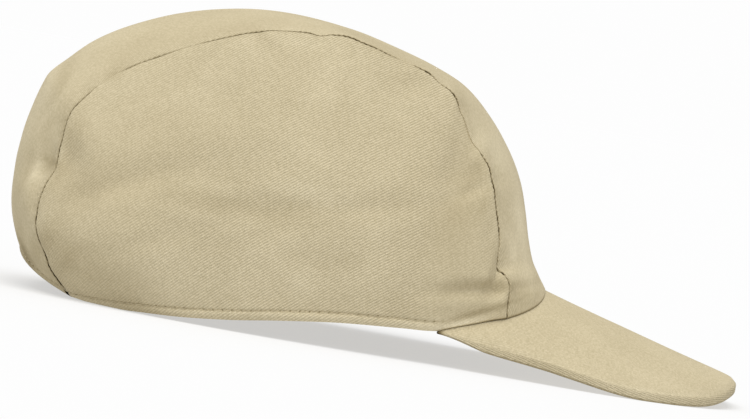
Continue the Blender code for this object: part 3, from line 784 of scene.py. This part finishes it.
def linear(hex_colour):
    """An sRGB hex colour as the linear values that the shaders take."""
    parts = [int(hex_colour[k:k + 2], 16) / 255 for k in (1, 3, 5)]
    return [p / 12.92 if p <= 0.04045 else ((p + 0.055) / 1.055) ** 2.4 for p in parts] + [1.0]


def add(tree, kind, links=None, **settings):
    """Adds a node with its settings. Each entry of links names an input and gives its value, or the
    output that it is joined to."""
    node = tree.nodes.new(kind)
    for name, value in settings.items():
        setattr(node, name, value)
    for name, value in (links or {}).items():
        if isinstance(value, bpy.types.NodeSocket):
            tree.links.new(value, node.inputs[name])
        else:
            node.inputs[name].default_value = value
    return node


wale_pitch = 0.91              # millimetres from one wale to the next
wale_wobble = 0.35             # how far a wale strays, in millimetres
wale_depth = 0.00016
wale_mean = 0.4                # the middle of the height of the wales, as a share of the highest
thread_pitch = 0.55            # millimetres from one thread float to the next, a little coarse to show
float_course = (0.41, 0.91, 0)  # the way across the rows of floats, with one row in each millimetre
float_low = 0.62               # what a wale keeps of its height between two floats
slub_scale = 1.7               # slubs in a millimetre
dye_scale = 0.045              # and patches of uneven dye
wale_show = 0.66               # how much of the two colours the wales take up
yarn_show = 0.30               # how far single yarns differ
dye_show = 0.35                # how far the dye is uneven
twill_light = "#D1C4A5"
twill_dark = "#AB9F7F"
warmth = {"Red": 0.91, "Green": 1.0, "Blue": 1.22}    # how quickly each colour falls as painted shade darkens the cloth


def cotton_twill(name, wale_angle, speckle):
    """Washed cotton twill, woven and garment-dyed: matt, with fine slanting wales that are worn in
    places, and uneven yarns. It scatters light softly, with hardly a sheen. It takes the painted light and
    shade of its piece, and its colour is warmer where that is darker."""
    material = bpy.data.materials.new(name)
    material.use_nodes = True
    tree = material.node_tree
    shader = tree.nodes["Principled BSDF"]
    weave = add(tree, "ShaderNodeAttribute", attribute_name="weave").outputs["Vector"]
    tone = add(tree, "ShaderNodeAttribute", attribute_name="tone").outputs["Fac"]
    nap = add(tree, "ShaderNodeAttribute", attribute_name="nap").outputs["Fac"]
    millimetres = add(tree, "ShaderNodeMapping", {
        0: weave, "Rotation": (0, 0, -wale_angle), "Scale": (1000, 1000, 1000)}).outputs[0]
    place = add(tree, "ShaderNodeSeparateXYZ", {0: millimetres}).outputs

    # Wales: ridges that wobble a little, each cut by its thread floats
    wobble = add(tree, "ShaderNodeTexNoise", {0: millimetres, "Scale": 0.11, "Detail": 1.0}).outputs[0]
    across = add(tree, "ShaderNodeMath", {0: wobble, 1: wale_wobble, 2: place["Y"]},
                 operation="MULTIPLY_ADD").outputs[0]
    wale = add(tree, "ShaderNodeMath", {0: across, 1: wale_pitch}, operation="DIVIDE").outputs[0]
    fold = add(tree, "ShaderNodeMath", {0: wale, 1: 0.5}, operation="PINGPONG").outputs[0]
    ridge = add(tree, "ShaderNodeMapRange", {0: fold, 2: 0.5}, interpolation_type="SMOOTHSTEP").outputs[0]
    course = add(tree, "ShaderNodeVectorMath", {0: millimetres, 1: float_course},
                 operation="DOT_PRODUCT").outputs["Value"]
    notch = add(tree, "ShaderNodeMath", {0: course, 1: 0.5}, operation="PINGPONG").outputs[0]
    crossing = add(tree, "ShaderNodeMapRange", {0: notch, 2: 0.5, 3: float_low, 4: 1.0},
                   interpolation_type="SMOOTHSTEP").outputs[0]
    cut_ridge = add(tree, "ShaderNodeMath", {0: ridge, 1: crossing}, operation="MULTIPLY").outputs[0]
    centred = add(tree, "ShaderNodeMath", {0: cut_ridge, 1: wale_mean}, operation="SUBTRACT").outputs[0]
    woven = add(tree, "ShaderNodeMath", {0: centred, 1: nap}, operation="MULTIPLY").outputs[0]

    # Yarns that differ from each other, slubs in them, and the uneven dye
    threads = add(tree, "ShaderNodeMath", {0: place["X"], 1: thread_pitch}, operation="DIVIDE").outputs[0]
    float_x = add(tree, "ShaderNodeMath", {0: threads}, operation="FLOOR").outputs[0]
    float_y = add(tree, "ShaderNodeMath", {0: wale}, operation="FLOOR").outputs[0]
    float_at = add(tree, "ShaderNodeCombineXYZ", {"X": float_x, "Y": float_y}).outputs[0]
    yarn = add(tree, "ShaderNodeTexWhiteNoise", {"Vector": float_at}, noise_dimensions="2D").outputs["Value"]
    drawn_out = add(tree, "ShaderNodeVectorMath", {0: millimetres, 1: (0.5, 1.0, 1)},
                    operation="MULTIPLY").outputs[0]
    slub = add(tree, "ShaderNodeTexNoise", {0: drawn_out, "Scale": slub_scale, "Detail": 3.0,
                                            "Roughness": 0.75}).outputs[0]
    dye = add(tree, "ShaderNodeTexNoise", {0: millimetres, "Scale": dye_scale, "Detail": 4.0,
                                           "Roughness": 0.6}).outputs[0]

    # How pale each spot of the cloth is, between its two colours
    level = 0.5 - 0.5 * (speckle + yarn_show + dye_show)
    cover = add(tree, "ShaderNodeMath", {0: woven, 1: wale_show, 2: level},
                operation="MULTIPLY_ADD").outputs[0]
    for texture, strength in ((slub, speckle), (yarn, yarn_show), (dye, dye_show)):
        cover = add(tree, "ShaderNodeMath", {0: texture, 1: strength, 2: cover},
                    operation="MULTIPLY_ADD").outputs[0]
    dyed = add(tree, "ShaderNodeMix", {"Factor": cover, 6: linear(twill_dark), 7: linear(twill_light)},
               data_type="RGBA").outputs[2]
    # Painted light and shade from the piece, in halvings of the light, warmer where it is darker
    shade = {}
    for channel, depth in warmth.items():
        halvings = add(tree, "ShaderNodeMath", {0: tone, 1: depth}, operation="MULTIPLY").outputs[0]
        shade[channel] = add(tree, "ShaderNodeMath", {0: 2.0, 1: halvings}, operation="POWER").outputs[0]
    shade = add(tree, "ShaderNodeCombineColor", shade).outputs[0]
    colour = add(tree, "ShaderNodeVectorMath", {0: dyed, 1: shade}, operation="MULTIPLY").outputs[0]
    height = add(tree, "ShaderNodeMath", {0: slub, 1: speckle, 2: woven},
                 operation="MULTIPLY_ADD").outputs[0]
    bump = add(tree, "ShaderNodeBump", {"Height": height, "Distance": wale_depth, "Strength": 1.0})
    tree.links.new(colour, shader.inputs["Base Color"])
    tree.links.new(bump.outputs[0], shader.inputs["Normal"])
    shader.inputs["Roughness"].default_value = 0.95
    shader.inputs["Specular IOR Level"].default_value = 0.1
    shader.inputs["Sheen Weight"].default_value = 0.02
    shader.inputs["Sheen Roughness"].default_value = 0.5
    return material


def sewn_piece(mesh, material, node):
    """Puts a finished mesh on the cap in place of its plain CAD node."""
    piece = bpy.data.objects.new(mesh.name, mesh)
    mesh.materials.append(material)
    bpy.context.scene.collection.objects.link(piece)
    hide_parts(node)
    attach(piece, "root")


strip_wale_angle = 120         # degrees, from straight across the cap
strip_speckle = 0.8            # how uneven the yarns of this cloth look
strip_twill = cotton_twill("cotton twill, centre panel", math.radians(strip_wale_angle), strip_speckle)
sewn_piece(centre_mesh, strip_twill, "centre_panel")


# Side panels
# Two panels of the same twill, one for each side of the head, cut with a curved top and sewn to the
# centre panel. The lower edge is turned in and stitched; ahead of the temple it is sewn to the peak.

side_wale_angle = 40           # degrees, up from level
side_speckle = 0.7
side_ripple = 0.00030          # how far these panels swell and sink between their folds
side_lines = {}                # where the stitches of each side panel run, for the hem stitches


def side_panel(word, sign, seed):
    """One side panel. It is worked out on the wearer's left and turned over for the right."""
    flip = np.array([1, sign, 1])
    away = run_of(side.transpose(1, 0, 2)).T
    up = away[:, -1:] - away
    leaning = lean(side_out, left_mitre, away)
    along_seam = np.broadcast_to(seam_run[:, None], away.shape)
    hem_run = np.broadcast_to(run_of(hem)[:, None], away.shape)
    at_front = ease(side[..., 0], corner_x - 0.003, corner_x + 0.004)

    # Its folds, the groove of its seam, and its hem
    groove, gathered = seam_relief(along_seam, away, seed)
    turned, puffed = hem_relief(up, hem_run, seed + 50)
    folded = fold_rise(side * flip) * ends_fade(along_seam, 0.010) * ease(up, 0.001, 0.008) * seam_hold(away)
    sunk = folded + groove * ends_fade(along_seam, 0.004)
    sunk = sunk + turned * (1 - at_front) - sewn_down * bell(up, sewn_down) * at_front
    fine = side_ripple * mottle(side[..., 0], side[..., 2], 0.021, seed + 60)
    fine = fine + creases(side[..., 0], side[..., 2], 60, seed + 70) + gathered
    wide_enough = ease(away[:, -1:], 0.004, 0.016)
    fine = (fine * ease(up, 0, 0.005) + puffed * (1 - at_front)) * wide_enough
    face = side + leaning * (sunk + fine)[..., None]

    # The wall is thicker at the hem and where the edge is turned in along the seam
    wall = cloth + (hem_wall - cloth) * (1 - ease(up, hem_depth, hem_depth + 0.0008))
    wall = wall + seam_allowance * bell(away, allowance_reach) * ends_fade(along_seam, 0.004)
    lining = (side + leaning * (sunk - wall)[..., None])[:, inside]
    lining[:, 0] += (seam_line - side[:, 0]) * inner_shut
    for grid in (face, lining):
        grid[..., 2] = np.maximum(grid[..., 2], 0)

    # The wales are worn at the back, sharp in the middle and pressed flat again by the peak
    weave = flat_pattern(side, side[..., ::2]) * np.array([-sign, 1])
    # Painted shading: painted light and shade over its folds, small ridges and hollows, and painted shade in
    # its seam, in the crack where it is sewn on the peak and along its stitches
    tone = (fold_rise(side * flip, painted_shading_rows) + relief_shading * np.clip(fine / 0.0003, -1, 1)
            - seam_painted_shadow(along_seam, away) - sewn_shade * bell(up, sewn_down) * at_front
            - needle_line(up, hem_run) * (1 - at_front))
    place = (side[..., 0] - back) / crown_length
    nap = 0.45 + 0.75 * ease(place, 0, 0.5) - 0.8 * ease(place, 0.74, 0.82)

    mesh = wall_mesh("side_cloth_" + word, face * flip, lining * flip, True, turned_over=sign < 0)
    face_notes(mesh, face.shape, lining.shape, weave=weave, tone=tone, nap=nap)
    at_stitches = -1 - stitch_column
    side_lines[word] = (face[:, at_stitches], leaning[:, at_stitches], wide_enough[:, 0])
    material = cotton_twill("cotton twill, side panel " + word, math.radians(side_wale_angle), side_speckle)
    sewn_piece(mesh, material, "side_panel_" + word)


side_panel("left", 1, 61)
side_panel("right", -1, 81)


# Peak
# A stiffened peak with a top cover and an under cover of twill. Both are turned over the rim and meet
# there in a fine groove. Its rear edge is sewn up into the front of the crown.

peak_rows = 481                # from the right rear corner round the tip to the left one
peak_columns = 89              # columns from those by the rim on to the crown
rim_steps = np.array([0, 0.12, 0.3, 0.55, 0.56, 0.85, 1.2, 1.6, 2.1, 2.8, 3.8, 5.2]) * 0.001
binding_columns = 4            # columns of the rim that the turned cloth covers
lip_radius = 0.0006            # how roundly a cover turns at the rim
rim_roll = 0.0011              # how far the rim rolls down
rim_roll_reach = 0.0032
nose_roll = 0.0013             # how much further it does on each side of the tip
side_roll = 0.0007             # and along its two sides
broad_roll_reach = 0.008
rim_piping = 0.0008            # how much thicker the top cover is along the rim
rim_crack = 0.0001             # between the two covers there
peak_ripple = 0.00022          # how far the top of the peak swells and sinks
corner_dark = 3.2              # halvings of painted shadow in its two rear corners
under_dark = 0.60              # and of painted shade on the rim of the under cover
peak_wale_angle = 97           # degrees, from straight across the peak
peak_speckle = 1.25
binding_slant = 9              # degrees, between the wales on the turned cloth and the rim
binding_squeeze = 1.2          # how much closer together the turned cloth draws them


def peak_plan():
    """Points of the peak on the plan, from its right corner round to its left one and from rim to
    crown, their distance from the rim, and each row's share of the way from the tip to a corner."""
    crown_edge = np.vstack([strip_lining[-1, :, :2][strip_lining.shape[1] // 2:-1],
                            (side + side_out * -hem_wall)[::-1][:, -1, :2]])
    crown_edge = crown_edge[(crown_edge[:, 0] > corner_x + 0.001) & (crown_edge[:, 1] >= -1e-6)]
    half = np.vstack([crown_edge, [[corner_x, corner_y]]])
    share = run_of(half) / run_of(half)[-1]
    from_tip = np.abs(np.linspace(-1, 1, peak_rows))
    rear = np.stack([np.interp(from_tip, share, half[:, k]) for k in range(2)], axis=-1)
    rim = peak_outline(from_tip)
    rim[[0, -1]] = rear[[0, -1]] = [corner_x + 0.0010, corner_y - 0.0010]
    length = np.maximum(np.linalg.norm(rim - rear, axis=-1), 1e-6)[:, None]
    by_rim = rim_steps * np.minimum(1 / length, 0.6 / rim_steps[-1])
    beyond = by_rim[:, -1:] + (1 - by_rim[:, -1:]) * np.linspace(0, 1, peak_columns + 1)[1:]
    w = np.concatenate([by_rim, beyond], axis=1)
    plan = rim[:, None] + (rear - rim)[:, None] * w[..., None]
    plan[..., 1] *= np.sign(np.linspace(-1, 1, peak_rows))[:, None]
    return plan, w * length, from_tip[:, None]


def lip(inward, radius):
    """How far a cover turns away from its own face as it nears the rim."""
    short = np.clip(radius - inward, 0, radius)
    return radius - np.sqrt(radius ** 2 - short ** 2)


def binding_weave(out):
    """The pattern on the cloth that is turned over the rim: its wales run nearly along the rim."""
    turn = math.radians(peak_wale_angle - binding_slant)
    return binding_squeeze * (round_rim[..., None] * np.array([math.cos(turn), math.sin(turn)])
                              + out[..., None] * np.array([-math.sin(turn), math.cos(turn)]))


# Faces of the two covers
plan, inward, from_tip = peak_plan()
plan_x, plan_y = plan[..., 0], plan[..., 1]
thin = wall_share(from_tip)
even_roll = ease(1 - from_tip, 0, 0.16) * (1 - 0.6 * bell(from_tip - 0.61, 0.08))
rolled = rim_roll * (1 - ease(inward, 0, rim_roll_reach)) ** 2 * even_roll
broad_roll = nose_roll * bell(from_tip - 0.24, 0.11) + side_roll * bell(from_tip - 0.83, 0.10)
rolled = rolled + (1 - ease(inward, 0, broad_roll_reach)) ** 2 * broad_roll
dent = peak_ripple * mottle(plan_x, plan_y, 0.019, 3) + creases(plan_x, plan_y, 16, 9) * 0.5
dent = dent * ease(inward, 0, 0.004) * ease(from_tip, 1, 0.8)
ridge_top = peak_height(plan_x, plan_y) - rolled
top_face = np.stack([plan_x, plan_y, ridge_top + dent - lip(inward, lip_radius) * thin], axis=-1)
wrapped = top_cover * thin + rim_piping * thin * bell(inward, 0.0016)
top_low = np.stack([plan_x, plan_y, ridge_top - wrapped], axis=-1)[:, inside]
under_up = np.stack([plan_x, plan_y, ridge_top - wrapped - rim_crack], axis=-1)[:, inside]
underside = ridge_top - (top_cover + under_cover) * thin - seam_gap + lip(inward, lip_radius) * thin
under_face = np.stack([plan_x, plan_y, np.maximum(underside, 0)], axis=-1)

# Their pattern and painted shading
peak_weave = flat_pattern(np.stack([plan_x, plan_y, ridge_top], axis=-1),
                          np.stack([-plan_y, plan_x], axis=-1))
over_rim = run_of(top_face[:, ::-1].transpose(1, 0, 2)).T[:, ::-1]
round_rim = run_of(plan[:, 0])[:, None]
past_edge = over_rim - over_rim[:, binding_columns, None]
on_binding = np.arange(inward.shape[1]) < binding_columns
peak_weave = np.where(on_binding[:, None], binding_weave(past_edge), peak_weave)
low_weave = peak_weave[:, inside].copy()
low_weave[:, :1] = binding_weave(past_edge[:, :1] + top_face[:, :1, 2] - top_low[:, :1, 2])
peak_nap = np.where(on_binding, 1.15, 0.5) * np.ones(plan_x.shape)
from_corner = np.hypot(plan_x - corner_x, np.abs(plan_y) - corner_y)
along_nose = ease(1 - from_tip, 0.02, 0.3) * ease(from_tip, 0, 0.4)
# Painted shade on the rim away from the tip and the corners, painted light on the rim halfway from the tip
# to each corner, painted shadow in the rear corners, painted shade on the rim of the under cover, and
# painted light and shade on small dents
rim_shade = 0.17 * (1 - ease(inward, 0.0003, 0.0009)) * along_nose
rim_painted_light = 0.25 * bell(inward, 0.0014) * bell(from_tip - 0.46, 0.17)
corner_shade = corner_dark * bell(from_corner, 0.0017)
peak_tone = rim_painted_light - rim_shade - corner_shade + 0.06 * np.clip(dent / 0.0003, -1, 1)
under_tone = peak_tone - under_dark * bell(inward, 0.0010) * ease(from_tip, 0.08, 0.45)

# Top cover
top_mesh = wall_mesh("peak_top_cloth", top_face, top_low, True)
face_notes(top_mesh, top_face.shape, top_low.shape, weave=(peak_weave, low_weave), tone=peak_tone,
           nap=peak_nap)
top_twill = cotton_twill("cotton twill, peak top", math.radians(peak_wale_angle), peak_speckle)
sewn_piece(top_mesh, top_twill, "peak_top")

# Under cover. Its faces point down, so its rows run the other way round.
back_first = slice(None, None, -1)
under_mesh = wall_mesh("peak_under_cloth", under_face[:, back_first], under_up[:, back_first], True)
face_notes(under_mesh, under_face.shape, under_up.shape, weave=(peak_weave * [-1, 1])[:, back_first],
           tone=under_tone[:, back_first], nap=peak_nap[:, back_first])
under_twill = cotton_twill("cotton twill, peak under", math.radians(180 - peak_wale_angle), peak_speckle)
sewn_piece(under_mesh, under_twill, "peak_under")


# Hem stitches
# One row of cotton topstitching round the open edge of the crown, from one corner of the peak round
# the back to the other. Each stitch is a short arch of thread that sinks in the cloth at both ends.

stitch_length = 0.0027
thread_radius = 0.00017
thread_light = "#D8CBAA"
thread_dark = "#A89B7A"
ply_detail = 2500.0            # how fine the plies of the thread are, per metre
raised = 0.00005               # how far the row stands off the cloth


def stitch_tree(material):
    """A row of stitches along a line: each an arch of thread, turned to the line and to the cloth."""
    tree = bpy.data.node_groups.new("stitch_row", "GeometryNodeTree")
    sockets = tree.interface
    sockets.new_socket("Line", in_out="INPUT", socket_type="NodeSocketGeometry")
    for name in ("Stitch pitch", "Stitch length", "Thread radius"):
        sockets.new_socket(name, in_out="INPUT", socket_type="NodeSocketFloat")
    sockets.new_socket("Stitches", in_out="OUTPUT", socket_type="NodeSocketGeometry")
    given = tree.nodes.new("NodeGroupInput").outputs
    curve = add(tree, "GeometryNodeMeshToCurve", {0: given["Line"]}).outputs[0]
    spaced = add(tree, "GeometryNodeResampleCurve", {"Curve": curve, "Length": given["Stitch pitch"]},
                 mode="LENGTH").outputs[0]
    half = add(tree, "ShaderNodeMath", {0: given["Stitch length"], 1: 0.5}, operation="MULTIPLY").outputs[0]
    behind = add(tree, "ShaderNodeMath", {0: half, 1: -1.0}, operation="MULTIPLY").outputs[0]
    low = add(tree, "ShaderNodeMath", {0: given["Thread radius"], 1: -1.6}, operation="MULTIPLY").outputs[0]
    high = add(tree, "ShaderNodeMath", {0: given["Thread radius"], 1: 2.6}, operation="MULTIPLY").outputs[0]
    start = add(tree, "ShaderNodeCombineXYZ", {"X": behind, "Z": low}).outputs[0]
    middle = add(tree, "ShaderNodeCombineXYZ", {"Z": high}).outputs[0]
    end = add(tree, "ShaderNodeCombineXYZ", {"X": half, "Z": low}).outputs[0]
    arch = add(tree, "GeometryNodeCurveQuadraticBezier",
               {"Resolution": 6, "Start": start, "Middle": middle, "End": end}).outputs[0]
    profile = add(tree, "GeometryNodeCurvePrimitiveCircle",
                  {"Resolution": 6, "Radius": given["Thread radius"]}).outputs[0]
    stitch = add(tree, "GeometryNodeCurveToMesh", {"Curve": arch, "Profile Curve": profile,
                                                   "Fill Caps": True}).outputs[0]
    tangent = add(tree, "GeometryNodeInputTangent").outputs[0]
    outward = add(tree, "GeometryNodeInputNamedAttribute", {"Name": "outward"},
                  data_type="FLOAT_VECTOR").outputs[0]
    turned = add(tree, "FunctionNodeAlignRotationToVector", {"Vector": tangent}, axis="X").outputs[0]
    turned = add(tree, "FunctionNodeAlignRotationToVector", {"Rotation": turned, "Vector": outward},
                 axis="Z", pivot_axis="X").outputs[0]
    row = add(tree, "GeometryNodeInstanceOnPoints", {"Points": spaced, "Instance": stitch,
                                                     "Rotation": turned}).outputs[0]
    solid = add(tree, "GeometryNodeRealizeInstances", {0: row}).outputs[0]
    smooth = add(tree, "GeometryNodeSetShadeSmooth", {0: solid}).outputs[0]
    dressed = add(tree, "GeometryNodeSetMaterial", {"Geometry": smooth, "Material": material}).outputs[0]
    add(tree, "NodeGroupOutput", {0: dressed})
    return tree


def stitch_row(name, points, outward, tree, **sizes):
    """A row of stitches along points on the cloth, as one plain mesh."""
    line = bpy.data.meshes.new(name + "_line")
    line.from_pydata(points.tolist(), [(i, i + 1) for i in range(len(points) - 1)], [])
    line.attributes.new("outward", "FLOAT_VECTOR", "POINT")
    line.attributes["outward"].data.foreach_set("vector", outward.astype(np.float32).ravel())
    guide = bpy.data.objects.new(name + "_line", line)
    bpy.context.scene.collection.objects.link(guide)
    rows = guide.modifiers.new("stitches", "NODES")
    rows.node_group = tree
    for item in tree.interface.items_tree:
        if item.in_out == "INPUT" and item.name in sizes:
            rows[item.identifier] = sizes[item.name]
    seen = guide.evaluated_get(bpy.context.evaluated_depsgraph_get())
    mesh = bpy.data.meshes.new_from_object(seen)
    mesh.name = name
    guide.modifiers.remove(rows)
    bpy.data.objects.remove(guide)
    piece = bpy.data.objects.new(name, mesh)
    bpy.context.scene.collection.objects.link(piece)
    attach(piece, "root")
    return piece


def sewing_thread(name):
    """Spun cotton thread, twisted in fine plies: matt, and a shade paler than the cloth."""
    material = bpy.data.materials.new(name)
    material.use_nodes = True
    tree = material.node_tree
    shader = tree.nodes["Principled BSDF"]
    place = add(tree, "ShaderNodeTexCoord").outputs["Object"]
    ply = add(tree, "ShaderNodeTexNoise", {0: place, "Scale": ply_detail, "Detail": 2.0}).outputs[0]
    tint = add(tree, "ShaderNodeMix", {"Factor": ply, 6: linear(thread_dark), 7: linear(thread_light)},
               data_type="RGBA").outputs[2]
    tree.links.new(tint, shader.inputs["Base Color"])
    bump = add(tree, "ShaderNodeBump", {"Height": ply, "Distance": 0.00005}).outputs[0]
    tree.links.new(bump, shader.inputs["Normal"])
    shader.inputs["Roughness"].default_value = 0.8
    return material


# The row stops short of each seam of the centre panel and of the peak
rows_made = stitch_tree(sewing_thread("spun cotton thread"))
left_face, left_leaning, wide_enough = side_lines["left"]
right_face, right_leaning, _ = side_lines["right"]
sewn = (left_face[:, 0] < corner_x - 0.001) & (wide_enough > 0.55)
off_seams = range(6, strip.shape[1] - 6)
row_at = [int(np.argmin(np.abs(up_back[:, j] - hem_depth))) for j in off_seams]
stitch_line = np.vstack([(right_face[sewn] * mirror)[::-1], strip_face[row_at, off_seams], left_face[sewn]])
stitch_out = np.vstack([(right_leaning[sewn] * mirror)[::-1], strip_lean[row_at, off_seams],
                        left_leaning[sewn]])
hem_stitches = stitch_row("hem_stitches", stitch_line + stitch_out * raised, stitch_out, rows_made,
                          **{"Stitch pitch": stitch_pitch, "Stitch length": stitch_length,
                             "Thread radius": thread_radius})


# Floor
# A light table of white acrylic, lit from below, which the cap stands on. Its own light keeps the shadow
# under the cap pale.

table_reach = 6.0
table_top = -0.00005           # just under the cap, so that no faces meet
table_glow = 0.532

floor_mesh = bpy.data.meshes.new("light_table")
corners = [(-table_reach, -table_reach), (table_reach, -table_reach),
           (table_reach, table_reach), (-table_reach, table_reach)]
floor_mesh.from_pydata([(x, y, table_top) for x, y in corners], [], [(0, 1, 2, 3)])
floor = bpy.data.objects.new("light_table", floor_mesh)
bpy.context.scene.collection.objects.link(floor)

# Frosted acrylic: matt and evenly pale, with no glint
acrylic = bpy.data.materials.new("frosted white acrylic")
acrylic.use_nodes = True
frosted = acrylic.node_tree.nodes["Principled BSDF"]
frosted.inputs["Base Color"].default_value = linear("#A0A0A0")
frosted.inputs["Emission Color"].default_value = (1, 1, 1, 1)
frosted.inputs["Emission Strength"].default_value = table_glow
frosted.inputs["Roughness"].default_value = 1.0
frosted.inputs["Specular IOR Level"].default_value = 0.0
floor_mesh.materials.append(acrylic)


# Light
# A white room that shows brighter than it lights, and one very wide diffuser overhead, a little towards
# the camera and the back of the cap.

room_glow = 0.64
backdrop_glow = 0.985          # how bright the room looks behind the cap
diffuser_strength = 2.21
diffuser_angle = math.radians(50)
diffuser_points = Vector((0.10, 0.36, -0.93))

white_room = bpy.data.worlds.new("white_room")
white_room.use_nodes = True
sky = white_room.node_tree
walls = sky.nodes["Background"]
walls.inputs["Color"].default_value = (1, 1, 1, 1)
walls.inputs["Strength"].default_value = room_glow
backdrop = add(sky, "ShaderNodeBackground", {"Color": (1, 1, 1, 1), "Strength": backdrop_glow}).outputs[0]
seen = add(sky, "ShaderNodeLightPath").outputs["Is Camera Ray"]
room = add(sky, "ShaderNodeMixShader", {0: seen, 1: walls.outputs[0], 2: backdrop}).outputs[0]
sky.links.new(room, sky.nodes["World Output"].inputs["Surface"])
bpy.context.scene.world = white_room
bpy.context.scene.view_settings.view_transform = "Standard"

lamp = bpy.data.lights.new("overhead_diffuser", "SUN")
lamp.energy = diffuser_strength
lamp.angle = diffuser_angle
overhead = bpy.data.objects.new("overhead_diffuser", lamp)
overhead.rotation_euler = diffuser_points.to_track_quat("-Z", "Y").to_euler()
bpy.context.scene.collection.objects.link(overhead)


# Camera
# Level with the cap's middle and 2.2 m away on the wearer's right, two degrees above it, and rolled so
# that the front of the cap dips, as in the photograph.

distance = 2.2
looks_at = Vector((-0.0041, 0, 0.0491))
rise_angle = math.radians(2.0)
roll = math.radians(9.9)
pixels_per_metre = 2700.0      # at the cap's middle
frame_width = 750
sensor_width = 36              # millimetres

camera_data = bpy.data.cameras.new("camera")
camera_data.sensor_width = sensor_width
camera_data.lens = sensor_width * pixels_per_metre * distance / frame_width
camera_data.clip_end = 50
camera = bpy.data.objects.new("camera", camera_data)
forward = Vector((0, math.cos(rise_angle), -math.sin(rise_angle)))
level = Vector((1, 0, 0))
upright = level.cross(forward)
to_right = level * math.cos(roll) + upright * math.sin(roll)
upward = upright * math.cos(roll) - level * math.sin(roll)
turned = Matrix((to_right, upward, -forward)).transposed().to_4x4()
camera.matrix_world = Matrix.Translation(looks_at - forward * distance) @ turned
bpy.context.scene.collection.objects.link(camera)
bpy.context.scene.camera = camera
